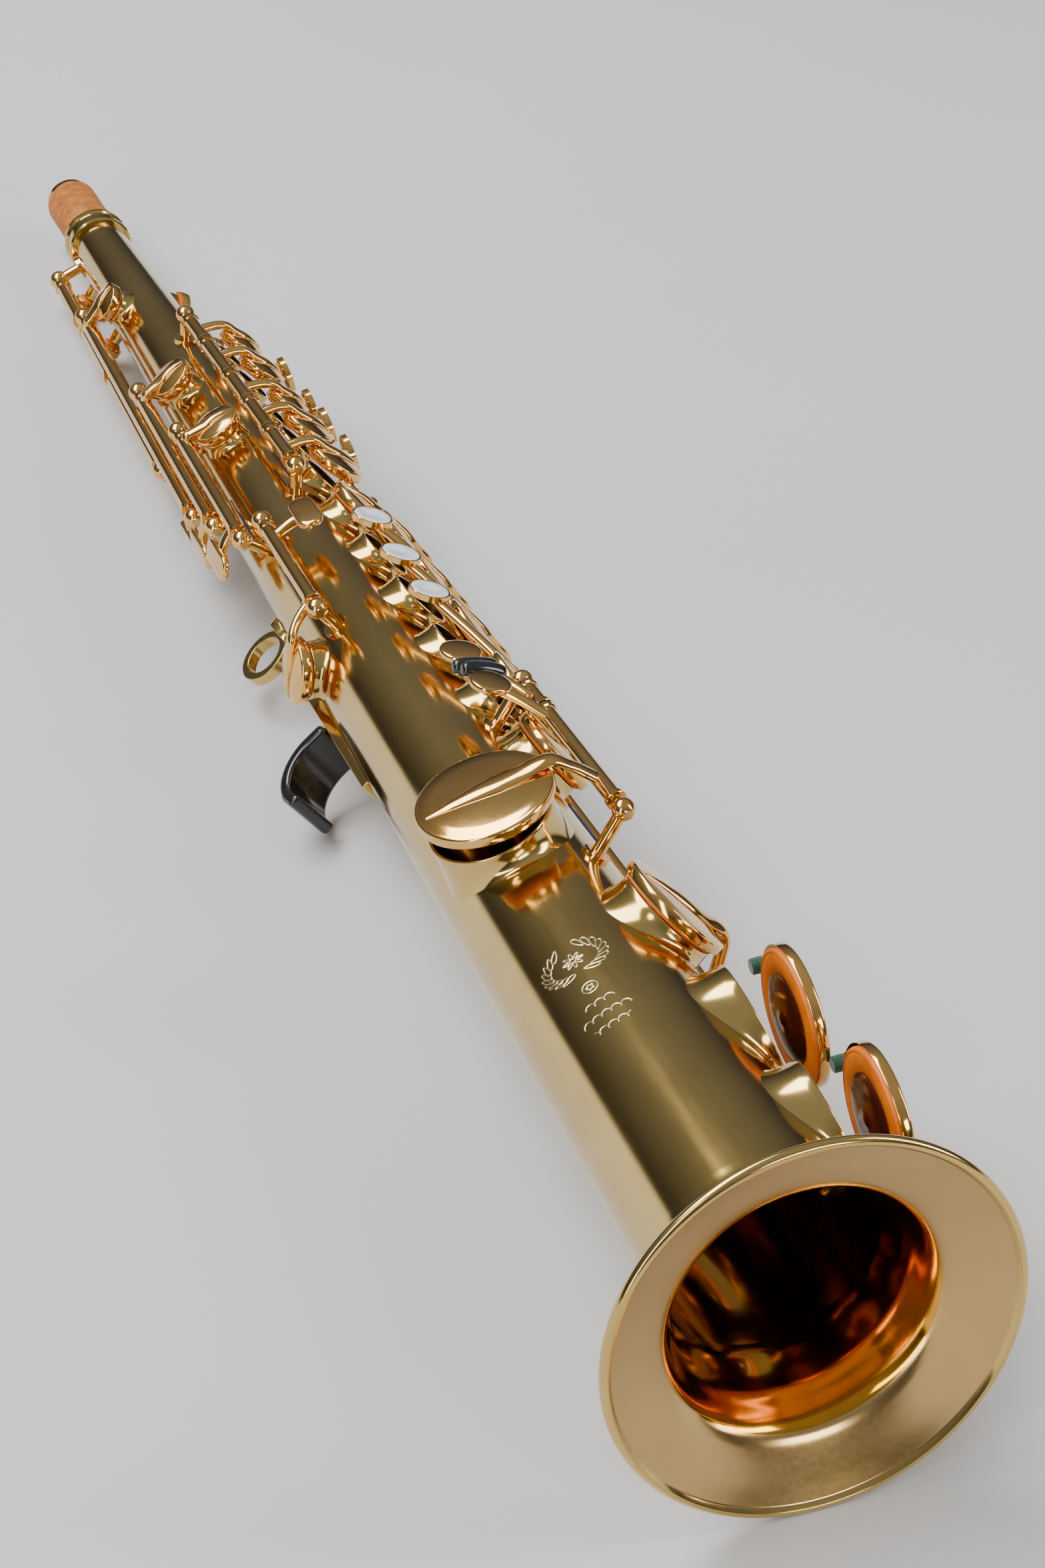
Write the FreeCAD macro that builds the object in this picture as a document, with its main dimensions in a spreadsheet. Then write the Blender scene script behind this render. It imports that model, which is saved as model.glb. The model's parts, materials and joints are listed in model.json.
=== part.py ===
import FreeCAD, Part
import math
import os
from FreeCAD import Placement, Rotation, Vector

# Soprano saxophone, in millimetres.  It is drawn upright in the player's frame and then laid down:
#   x = player's right, y = front (away from the player), z = from the bell rim up to the neck.
# An angle round the body is 0 at the front and grows towards the player's right.
# A share is a place along the tube: 0 at the bell rim, 1 at the tip of the neck.

doc = FreeCAD.newDocument("SopranoSaxophone")
sheet = doc.addObject("Spreadsheet::Sheet", "Sizes")
sheet_rows = []


def put_sizes(values):
    for alias, value in values.items():
        sheet_rows.append(alias)
        row = len(sheet_rows)
        sheet.set(f"A{row}", alias)
        sheet.set(f"B{row}", str(value))
        sheet.setAlias(f"B{row}", alias)


# ---- driving dimensions ------------------------------------------------------------------------
put_sizes({
    # conical body: outer radii of the cone carried on to the rim plane and to the neck tip
    "tube_length": 615.0, "throat_radius": 25.4, "neck_radius": 6.95, "tube_wall": 0.8,
    # bell flare
    "bell_radius": 46.5, "bell_joint": 30.0, "flare_bend_radius": 14.0, "flare_slope": 20.0,
    "rim_bead_radius": 1.3,
    # neck end
    "tenon_radius": 7.0, "tenon_length": 34.0, "cork_wall": 0.9, "cork_length": 27.0,
    "cork_from_tip": 3.0, "neck_ring_rise": 1.6, "neck_ring_width": 8.0,
    # tone holes, cups and pads
    "chimney_wall": 0.8, "chimney_rise": 3.2, "cup_wall": 0.8, "cup_lip": 2.2, "cup_skirt": 1.7,
    "cup_lid": 0.9, "cup_dome": 0.9, "pad_thickness": 2.6, "pad_seat_gap": 0.15,
    # key work
    "rod_radius": 1.15, "rod_clearance": 0.05, "post_clearance": 0.02, "hinge_tube_radius": 2.1,
    "hinge_height": 8.0, "arm_radius": 1.5, "post_radius": 1.6, "post_ball_radius": 2.8,
    "post_foot_radius": 3.4, "post_foot_height": 1.0, "tube_end_gap": 0.3,
    "pearl_radius": 5.4, "pearl_thickness": 2.2, "plate_thickness": 1.8,
    "spring_radius": 0.35, "spring_length": 20.0,
    # things on the back of the body
    "hook_share": 0.4455, "hook_angle": 178.0, "hook_width": 15.0, "hook_top": 8.0,
    "hook_bend_radius": 13.5, "hook_stem": 5.5, "hook_thickness": 3.6, "hook_lip": 4.0,
    "hook_lip_taper": 1.0, "hook_plate_length": 50.0, "hook_plate_width": 12.0,
    "hook_plate_rise": 1.4, "strap_share": 0.545, "strap_ring_radius": 5.5,
    "strap_ring_thickness": 2.2, "strap_ring_width": 3.2, "thumb_rest_share": 0.693,
    "thumb_rest_angle": 190.0, "thumb_rest_radius": 7.0, "thumb_rest_rise": 4.5,
    # how the instrument lies: the direction that is up, and the dip of its axis to the neck
    "lying_up_angle": 48.57, "lying_dip": 3.02,
})

# Keys.  hole: share, angle, hole radius.  rod: which rod it turns on.  tube: from and to, in mm from
# the hole's own station.  lift: how far the pad swings.  stands: what the spring does at rest.
# touch: what the finger meets (kind, share, angle, mm above the hinge's height).
keys = {
    "low_b_flat": dict(share=0.0878, angle=-20, hole=14.4, rise=3.2, rod="b_flat", tube=(-6.5, 288),
                       lift=17, stands="open", touch=("plate", 0.556, -66, 6.6)),
    "low_b": dict(share=0.1530, angle=-20, hole=14.4, rise=3.4, rod="b", tube=(-6.5, 262),
                  lift=17, stands="open", touch=("plate", 0.579, -51, 6.6)),
    "low_c_sharp": dict(share=0.2163, angle=0, hole=12.0, rise=3.2, rod="c_sharp", tube=(-6.5, 238),
                        lift=12, stands="closed", touch=("plate", 0.602, -77, 5.6)),
    "low_c": dict(share=0.2862, angle=70, hole=14.5, rise=5.2, rod="right_hand", tube=(-11.5, 36.0),
                  lift=6, stands="open", touch=("plate", 0.3561, 40, 1.0)),
    "low_e_flat": dict(share=0.3480, angle=-6, hole=9.6, rise=3.2, rod="right_hand", tube=(-1.2, 10.8),
                       lift=12, stands="closed", touch=("plate", 0.3837, 40, 1.0)),
    "d": dict(share=0.3919, angle=0, hole=8.6, rise=3.2, rod="lower_stack", tube=(-9.0, 14.5),
              lift=10, stands="open", touch=("pearl", 0.4440, 41, 1.5)),
    "e": dict(share=0.4423, angle=0, hole=8.3, rise=3.2, rod="lower_stack", tube=(-16.0, 14.0),
              lift=10, stands="open", touch=("pearl", 0.4810, 41, 1.5)),
    "f": dict(share=0.4894, angle=0, hole=8.0, rise=3.2, rod="lower_stack", tube=(-14.5, 13.5),
              lift=10, stands="open", touch=("pearl", 0.5190, 41, 1.5)),
    "f_sharp": dict(share=0.5350, angle=0, hole=7.3, rise=3.2, rod="lower_stack", tube=(-14.0, 11.0),
                    lift=10, stands="open", touch=None),
    "f_sharp_trill": dict(share=0.4764, angle=130, hole=6.6, rise=2.8, rod="trill", tube=(5.0, 50.0),
                          lift=12, stands="closed", touch=("plate", 0.5480, 60, 1.0)),
    "g_sharp": dict(share=0.5772, angle=0, hole=6.5, rise=3.2, rod="lower_stack", tube=(-8.0, 32.0),
                    lift=12, stands="closed", touch=("plate", 0.6260, -60, 5.6)),
    "g": dict(share=0.6163, angle=0, hole=6.3, rise=3.0, rod="upper_stack", tube=(-8.0, 12.0),
              lift=10, stands="open", touch=("pearl", 0.6525, -38, 1.5)),
    "a": dict(share=0.6553, angle=0, hole=6.0, rise=3.0, rod="upper_stack", tube=(-11.5, 8.7),
              lift=10, stands="open", touch=("pearl", 0.6830, -38, 1.5)),
    "bis": dict(share=0.6846, angle=0, hole=4.6, rise=3.0, rod="upper_stack", tube=(-9.0, 9.5),
                lift=10, stands="open", touch=("pearl", 0.7070, -40, 1.5)),
    "b": dict(share=0.7236, angle=0, hole=5.4, rise=3.0, rod="upper_stack", tube=(-14.0, 10.5),
              lift=10, stands="open", touch=("pearl", 0.7420, -38, 1.5)),
    "c": dict(share=0.7561, angle=0, hole=4.8, rise=3.0, rod="upper_stack", tube=(-9.0, 8.0),
              lift=10, stands="open", touch=None),
    "side_b_flat": dict(share=0.6683, angle=77, hole=5.2, rise=2.8, rod="side_b_flat",
                        tube=(-58, 5), lift=12, stands="closed", touch=("plate", 0.5820, 130, 1.5)),
    "side_c": dict(share=0.7317, angle=88, hole=4.8, rise=2.8, rod="side_c",
                   tube=(-76, 5), lift=12, stands="closed", touch=("plate", 0.6140, 146, 1.5)),
    "side_e": dict(share=0.8423, angle=106, hole=4.2, rise=2.6, rod="side_e",
                   tube=(-124, 5), lift=14, stands="closed", touch=("plate", 0.6470, 166, 1.5)),
    "palm_d": dict(share=0.7870, angle=-69, hole=4.6, rise=2.8, rod="palm", tube=(-22, 4.0),
                   lift=14, stands="closed", touch=("plate", 0.7480, -125, -2.0)),
    "palm_e_flat": dict(share=0.8146, angle=-69, hole=4.4, rise=2.8, rod="palm", tube=(-12.5, 4.0),
                        lift=14, stands="closed", touch=("plate", 0.7930, -124, -2.0)),
    "palm_f": dict(share=0.8683, angle=-67, hole=4.2, rise=2.6, rod="palm", tube=(-24, 4.0),
                   lift=14, stands="closed", touch=("plate", 0.8380, -124, -2.0)),
    "lower_octave": dict(share=0.8618, angle=190, hole=1.0, rise=4.4, rod="octave", tube=(-31, 4.0),
                         lift=10, stands="closed", touch=None),
    "upper_octave": dict(share=0.9138, angle=190, hole=1.0, rise=4.4, rod="octave", tube=(-22, 4.0),
                         lift=10, stands="closed", touch=None),
}
octave_lever = dict(share=0.7260, rod="octave", tube=(-6, 50), angle=187, height=0.6)

# Rods: angle round the body, extra height over hinge_height, and the shares of their posts.
rods = {
    "b_flat": dict(angle=-84, extra=0.0, posts=(0.0710, 0.5620)),
    "b": dict(angle=-70, extra=0.0, posts=(0.1365, 0.5850)),
    "c_sharp": dict(angle=-56, extra=0.0, posts=(0.1995, 0.6095)),
    "right_hand": dict(angle=16, extra=5.0, posts=(0.2610, 0.3707)),
    "lower_stack": dict(angle=-40, extra=0.0, posts=(0.3700, 0.5590, 0.6360)),
    "trill": dict(angle=86, extra=0.0, posts=(0.4780, 0.5645)),
    "upper_stack": dict(angle=45, extra=0.0, posts=(0.5965, 0.7765)),
    "side_b_flat": dict(angle=105, extra=0.0, posts=(0.5680, 0.6830)),
    "side_c": dict(angle=120, extra=0.0, posts=(0.6010, 0.7465)),
    "side_e": dict(angle=138, extra=0.0, posts=(0.6340, 0.8575)),
    "palm": dict(angle=-100, extra=0.6, posts=(0.7440, 0.8815)),
    "octave": dict(angle=162, extra=0.0, posts=(0.7105, 0.9280)),
}

for key_name, key in keys.items():
    put_sizes({f"{key_name}_share": key["share"], f"{key_name}_hole": key["hole"],
               f"{key_name}_rise": key["rise"]})
doc.recompute()


# ---- sheet and geometry helpers -----------------------------------------------------------------
def size(alias):
    return float(sheet.get(alias))


def body_radius(share):
    return size("throat_radius") - (size("throat_radius") - size("neck_radius")) * share


def station(share):
    return share * size("tube_length")


def polar(angle, radius, height):
    turn = math.radians(angle)
    return Vector(radius * math.sin(turn), radius * math.cos(turn), height)


def outward(angle):
    return polar(angle, 1.0, 0.0)


def facing(base, direction):
    """Placement whose local z points along direction."""
    return Placement(base, Rotation(Vector(0, 0, 1), direction))


def add(kind, name, place=None, **expressions):
    piece = doc.addObject(kind, name)
    for prop, expression in expressions.items():
        piece.setExpression(prop, expression)
    if place is not None:
        piece.Placement = place
    return piece


def cylinder(name, base, direction, radius, height):
    return add("Part::Cylinder", name, facing(base, direction), Radius=radius, Height=height)


def fused(name, pieces):
    if len(pieces) == 1:
        return pieces[0]
    fuse = doc.addObject("Part::MultiFuse", name)
    fuse.Shapes = pieces
    return fuse


def cut(name, base, tools):
    result = doc.addObject("Part::Cut", name)
    result.Base = base
    result.Tool = fused(name + "_tools", tools)
    return result


def bars(name, points, radius="Sizes.arm_radius", first_ball=True):
    """Round bars from point to point, with a ball at each point."""
    pieces = []
    for start, end in zip(points, points[1:]):
        rod = add("Part::Cylinder", name, facing(start, end - start), Radius=radius)
        rod.Height = (end - start).Length
        pieces.append(rod)
    for point in points[0 if first_ball else 1:]:
        pieces.append(add("Part::Sphere", f"{name}_ball", Placement(point, Rotation()), Radius=radius))
    return pieces


def body_cone(name, inset, from_share, to_share):
    """Solid cone along the body's axis, inset mm inside the body's outer skin."""
    cone = add("Part::Cone", name, Placement(Vector(0, 0, station(from_share)), Rotation()))
    slope = "(Sizes.throat_radius - Sizes.neck_radius)"
    cone.setExpression("Radius1", f"Sizes.throat_radius - {slope} * {from_share} - {inset}")
    cone.setExpression("Radius2", f"Sizes.throat_radius - {slope} * {to_share} - {inset}")
    cone.setExpression("Height", f"Sizes.tube_length * {to_share - from_share}")
    return cone


root_nodes = []
moving_nodes = []


def hinge_point(rod_name, z):
    """Point on a rod's axis: rods run parallel to the body's conical skin."""
    rod = rods[rod_name]
    share = z / size("tube_length")
    height = size("hinge_height") + rod["extra"]
    return polar(rod["angle"], body_radius(share) + height, z)


def rod_direction(rod_name):
    run = hinge_point(rod_name, 500.0) - hinge_point(rod_name, 100.0)
    return run.normalize()


# ---- body tube with its drawn chimneys -----------------------------------------------------------
def hole_place(key):
    return polar(key["angle"], 0.0, station(key["share"]))


def chimney(name, key, extra_radius, extra_height):
    slope = "(Sizes.throat_radius - Sizes.neck_radius)"
    return cylinder(f"{name}_chimney", hole_place(key), outward(key["angle"]),
                    f"Sizes.{name}_hole + {extra_radius}",
                    f"Sizes.throat_radius - {slope} * Sizes.{name}_share + Sizes.{name}_rise"
                    f" + {extra_height}")


def make_body_tube():
    joint = size("bell_joint") / size("tube_length")
    shoulder = 1.0 - size("tenon_length") / size("tube_length")
    outside = [body_cone("tube_skin", 0.0, joint, shoulder)]
    outside.append(cylinder("tenon_skin", Vector(0, 0, station(shoulder) - 2.0), Vector(0, 0, 1),
                            "Sizes.tenon_radius", "Sizes.tenon_length + 2"))
    lip = 2.0 / size("tube_length")
    holes = [body_cone("tube_bore", size("tube_wall"), joint - 0.01, shoulder - lip)]
    holes.append(cylinder("tenon_bore", Vector(0, 0, station(shoulder - 2 * lip)), Vector(0, 0, 1),
                          "Sizes.tenon_radius - Sizes.tube_wall", "Sizes.tenon_length + 5"))
    for name, key in keys.items():
        outside.append(chimney(name, key, "Sizes.chimney_wall", 0.0))
        holes.append(chimney(name, key, "0", 1.0))
    tube = cut("body_tube", fused("tube_outside", outside), holes)
    root_nodes.append(tube)


def make_bell():
    """Flare turned from a closed profile: body line, bend, straight slope, and a beaded rim."""
    body = doc.addObject("PartDesign::Body", "bell")
    plane = [p for p in body.Origin.OriginFeatures if p.Role == "XZ_Plane"][0]
    sketch = body.newObject("Sketcher::SketchObject", "bell_profile")
    sketch.AttachmentSupport = (plane, [""])
    sketch.MapMode = "FlatFace"
    wall, bend = size("tube_wall"), size("flare_bend_radius")
    slope = math.radians(size("flare_slope"))
    joint = size("bell_joint")
    joint_radius = body_radius(joint / size("tube_length"))
    rim = size("bell_radius") - size("rim_bead_radius")
    bead = size("rim_bead_radius")
    # outer skin: down the body line, round the bend, out along the slope to the bead
    turn = math.pi / 2 - slope
    slope_run = rim - joint_radius - bend * (1 - math.cos(turn))
    bend_end = Vector(rim - slope_run, bead + slope_run * math.tan(slope), 0)
    bend_start = Vector(joint_radius, bend_end.y + bend * math.sin(turn), 0)
    centre = Vector(joint_radius + bend, bend_start.y, 0)
    outer_mid = centre + Vector(-math.cos(turn / 2), -math.sin(turn / 2), 0) * bend
    inner_mid = centre + Vector(-math.cos(turn / 2), -math.sin(turn / 2), 0) * (bend + wall)
    normal = Vector(-math.sin(slope), -math.cos(slope), 0) * wall
    inner_bend_end = bend_end + normal
    inner_bend_start = bend_start + Vector(-wall, 0, 0)
    rim_outer = Vector(rim, bead, 0)
    rim_inner = rim_outer + normal
    top_outer = Vector(joint_radius, joint, 0)
    top_inner = Vector(joint_radius - wall, joint, 0)
    edges = [Part.LineSegment(top_outer, bend_start),
             Part.Arc(bend_start, outer_mid, bend_end),
             Part.LineSegment(bend_end, rim_outer),
             Part.LineSegment(rim_outer, rim_inner),
             Part.LineSegment(rim_inner, inner_bend_end),
             Part.Arc(inner_bend_end, inner_mid, inner_bend_start),
             Part.LineSegment(inner_bend_start, top_inner),
             Part.LineSegment(top_inner, top_outer)]
    sketch.addGeometry(edges, False)
    flare = body.newObject("PartDesign::Revolution", "flare")
    flare.Profile = sketch
    flare.ReferenceAxis = (sketch, ["V_Axis"])
    flare.Angle = 360
    body.Tip = flare
    bead_ring = add("Part::Torus", "rim_bead", Placement(Vector(0, 0, bead), Rotation()),
                    Radius1="Sizes.bell_radius - Sizes.rim_bead_radius",
                    Radius2="Sizes.rim_bead_radius")
    body.Label = "bell_flare"
    bell = fused("bell_with_bead", [body, bead_ring])
    bell.Label = "bell"
    root_nodes.append(bell)


def make_neck():
    tip = size("tube_length")
    shoulder = tip - size("tenon_length")
    ring_from = shoulder - size("neck_ring_width") + 2.0
    collar = cylinder("collar_blank", Vector(0, 0, ring_from), Vector(0, 0, 1),
                      f"{body_radius(shoulder / tip)} + Sizes.neck_ring_rise", "Sizes.neck_ring_width")
    tube_outside = body_cone("collar_seat", 0.0, 0.5, 1.0 - size("tenon_length") / tip)
    tenon = cylinder("collar_tenon_seat", Vector(0, 0, shoulder - 1.0), Vector(0, 0, 1),
                     "Sizes.tenon_radius", "Sizes.tenon_length")
    root_nodes.append(cut("neck_ring", collar, [tube_outside, tenon]))
    cork_from = tip - size("cork_from_tip") - size("cork_length")
    blank = cylinder("cork_blank", Vector(0, 0, cork_from), Vector(0, 0, 1),
                     "Sizes.tenon_radius + Sizes.cork_wall", "Sizes.cork_length")
    hole = cylinder("cork_hole", Vector(0, 0, cork_from - 1.0), Vector(0, 0, 1),
                    "Sizes.tenon_radius", "Sizes.cork_length + 2")
    root_nodes.append(cut("neck_cork", blank, [hole]))


# ---- posts, rods and needle springs ---------------------------------------------------------------
def make_posts_and_rods():
    pillars, bores, pins, needles = [], [], [], []
    overhang = 0.4
    for name, rod in rods.items():
        direction = rod_direction(name)
        side = outward(rod["angle"])
        first = hinge_point(name, station(rod["posts"][0]))
        last = hinge_point(name, station(rod["posts"][-1]))
        reach = (last - first).Length + 2 * (size("post_ball_radius") + overhang)
        start = first - direction * (size("post_ball_radius") + overhang)
        pin = cylinder(f"{name}_rod", start, direction, "Sizes.rod_radius", "1")
        pin.setExpression("Height", None)
        pin.Height = reach
        pins.append(pin)
        bore = cylinder(f"{name}_bore", start, direction, "Sizes.rod_radius + Sizes.post_clearance", "1")
        bore.setExpression("Height", None)
        bore.Height = reach
        bores.append(bore)
        for number, share in enumerate(rod["posts"]):
            top = hinge_point(name, station(share))
            root = polar(rod["angle"], body_radius(share) - 1.0, station(share))
            pillar = add("Part::Cylinder", f"{name}_post", facing(root, side),
                         Radius="Sizes.post_radius")
            pillar.Height = (top - root).Length
            ball = add("Part::Sphere", f"{name}_post_ball", Placement(top, Rotation()),
                       Radius="Sizes.post_ball_radius")
            foot = cylinder(f"{name}_foot", root, side, "Sizes.post_foot_radius",
                            "Sizes.post_foot_height + 1")
            pillars += [pillar, ball, foot]
            if number == 0:
                grip = polar(rod["angle"], body_radius(share) + 2.6,
                             station(share) + size("post_radius") - 0.6)
                needles.append(cylinder(f"{name}_needle", grip, direction, "Sizes.spring_radius",
                                        "Sizes.spring_length"))
    skin = body_cone("post_seat", 0.0, 0.03, 0.99)
    posts = cut("posts", fused("post_blanks", pillars), bores + [skin])
    group = doc.addObject("Part::Compound", "hinge_rods")
    group.Links = pins
    springs = doc.addObject("Part::Compound", "needle_springs")
    springs.Links = needles
    root_nodes.extend([posts, group, springs])


# ---- one key: hinge tube, arm, cup, pad and touchpiece -----------------------------------------------
def cup_heights(name):
    """Heights above the axis, out along the cup's own direction: pad face, pad back, top of dome."""
    face = body_radius(keys[name]["share"]) + size(f"{name}_rise") + size("pad_seat_gap")
    back = face + size("pad_thickness")
    return face, back, back + size("cup_lid") + size("cup_dome")


def make_plate(name, centre, angle, length, width):
    """Stadium-shaped finger plate, long along the body, facing outwards."""
    side = outward(angle)
    along = Vector(0, 0, 1)
    base = centre - side * (size("plate_thickness") / 2)
    half = length / 2 - width / 2
    ends = []
    for shift in (-half, half):
        end = cylinder(f"{name}_plate_end", base + along * shift, side, str(width / 2),
                       "Sizes.plate_thickness")
        ends.append(end)
    turn = Rotation(along, side.cross(along) * -1, side, "ZXY")
    corner = base + turn.multVec(Vector(-half, -width / 2, 0))
    slab = add("Part::Box", f"{name}_plate", Placement(corner, turn), Height="Sizes.plate_thickness")
    slab.Length = 2 * half
    slab.Width = width
    return [slab] + ends


plate_sizes = {"low_b_flat": (13.0, 8.0), "low_b": (12.0, 8.0), "low_c_sharp": (12.0, 8.0),
               "g_sharp": (13.0, 8.0), "low_c": (13.5, 10.0), "low_e_flat": (13.5, 10.0),
               "f_sharp_trill": (15.0, 7.0), "side_b_flat": (17.0, 7.0), "side_c": (17.0, 7.0),
               "side_e": (17.0, 7.0), "palm_d": (18.0, 9.0), "palm_e_flat": (16.0, 9.0),
               "palm_f": (17.0, 9.0), "octave_lever": (17.0, 9.0)}


def hinge_tube(name, rod_name, start_z, end_z):
    start, end = hinge_point(rod_name, start_z), hinge_point(rod_name, end_z)
    run = end - start
    tube = cylinder(f"{name}_tube", start, run, "Sizes.hinge_tube_radius", "1")
    tube.setExpression("Height", None)
    tube.Height = run.Length
    bore = cylinder(f"{name}_tube_bore", start - run.normalize() * 1.0, run,
                    "Sizes.rod_radius + Sizes.rod_clearance", "1")
    bore.setExpression("Height", None)
    bore.Height = (end - start).Length + 2.0
    return tube, bore


def swing(name, rod_name, pad_angle, angle):
    """Placement that turns a piece about its rod; positive lifts the pad off its hole."""
    sense = 1.0 if ((pad_angle - rods[rod_name]["angle"] + 180) % 360) > 180 else -1.0
    centre = hinge_point(rod_name, 300.0)
    return Placement(Vector(), Rotation(rod_direction(rod_name), sense * angle), centre)


def touch_bars(name, rod_name, start, touch):
    kind, share, angle, over = touch
    rod = rods[rod_name]
    radius = body_radius(share) + size("hinge_height") + rod["extra"] + over
    centre = polar(angle, radius, station(share))
    inner = centre - outward(angle) * 0.4
    points = [start, inner]
    if over > 3.0:
        # the arm first climbs over the neighbouring rods
        turn = (angle - rod["angle"] + 180) % 360 - 180
        points.insert(1, polar(rod["angle"] + 0.2 * turn, radius - 0.4, start.z))
    pieces = bars(f"{name}_touch_arm", points)
    if kind == "pearl":
        base = centre - outward(angle) * (size("pearl_thickness") / 2)
        pieces.append(cylinder(f"{name}_pearl_cup", base, outward(angle), "Sizes.pearl_radius",
                               "Sizes.pearl_thickness"))
    else:
        pieces += make_plate(name, centre, angle, *plate_sizes[name])
    return pieces


def make_key(name, key):
    rod_name = key["rod"]
    rod_angle = rods[rod_name]["angle"]
    hole_z = station(key["share"])
    side = outward(key["angle"])
    face, back, top = cup_heights(name)
    small = key["hole"] < 2.0
    lip = 2.6 if small else (size("cup_lip") if key["hole"] > 5.5 else size("cup_lip") - 0.5)
    cup_radius = f"Sizes.{name}_hole + {lip}"
    cup_reach = key["hole"] + lip
    show = size("pad_thickness") - size("cup_skirt")
    axis_point = Vector(0, 0, hole_z)
    # cup, slightly domed
    cup = cylinder(f"{name}_cup", axis_point + side * (face + show), side, cup_radius,
                   "Sizes.cup_skirt + Sizes.cup_lid")
    dome = add("Part::Cone", f"{name}_dome", facing(axis_point + side * (back + size("cup_lid")), side),
               Radius1=f"{cup_radius} - 0.6", Radius2=f"({cup_radius}) * 0.45", Height="Sizes.cup_dome")
    recess = cylinder(f"{name}_recess", axis_point + side * (face - 3.0), side,
                      f"{cup_radius} - Sizes.cup_wall", "Sizes.pad_thickness + 3")
    pad = cylinder(f"{name}_pad", axis_point + side * face, side,
                   f"{cup_radius} - Sizes.cup_wall - 0.05", "Sizes.pad_thickness")
    pad.Label = f"{name}_pad"
    # hinge tube and the arm: up from the tube to a knee beside the cup, then across its back
    start_z, end_z = hole_z + key["tube"][0], hole_z + key["tube"][1]
    tube, bore = hinge_tube(name, rod_name, start_z, end_z)
    arm_z = min(max(hole_z, start_z + 2.0), end_z - 2.0)
    across = (key["angle"] - rod_angle + 180) % 360 - 180
    sense = 1.0 if across > 0 else -1.0
    tangent = outward(key["angle"] + 90) * sense
    root = hinge_point(rod_name, arm_z)
    knee = axis_point + side * (top + 0.6) - tangent * (cup_reach + 1.0)
    crown = axis_point + side * (top + 0.2)
    tip = axis_point + side * (top - 0.4) + tangent * (cup_reach * 0.45)
    arm = bars(f"{name}_arm", [root, knee, crown])
    arm += bars(f"{name}_arm_tip", [crown, tip], "Sizes.arm_radius * 0.8", first_ball=False)
    pieces = [cup, dome, tube] + arm
    if key["touch"]:
        kind, share = key["touch"][0], key["touch"][1]
        touch_z = station(share)
        if kind == "pearl":
            near = axis_point + side * (top - 0.2) + (outward(key["touch"][2]) - side).normalize() \
                * (cup_reach * 0.55)
            pieces += touch_bars(name, rod_name, near, key["touch"])
        else:
            start = hinge_point(rod_name, min(max(touch_z, start_z + 2.5), end_z - 5.0))
            pieces += touch_bars(name, rod_name, start, key["touch"])
    metal = cut(f"{name}_key", fused(f"{name}_blank", pieces), [bore, recess])
    stands = key["lift"] if key["stands"] == "open" else 0.0
    moving_nodes.append((metal, swing(name, rod_name, key["angle"], stands)))
    moving_nodes.append((pad, swing(name, rod_name, key["angle"], stands)))


def make_octave_lever():
    rod_name = octave_lever["rod"]
    z = station(octave_lever["share"])
    start_z, end_z = z + octave_lever["tube"][0], z + octave_lever["tube"][1]
    tube, bore = hinge_tube("octave_lever", rod_name, start_z, end_z)
    angle = octave_lever["angle"]
    radius = body_radius(octave_lever["share"]) + size("hinge_height") + octave_lever["height"]
    centre = polar(angle, radius, z)
    arm = bars("octave_arm", [hinge_point(rod_name, z), centre - outward(angle) * 0.4])
    pieces = [tube] + arm + make_plate("octave_lever", centre, angle, *plate_sizes["octave_lever"])
    lever = cut("octave_lever_key", fused("octave_lever_blank", pieces), [bore])
    moving_nodes.append((lever, Placement()))


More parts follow.
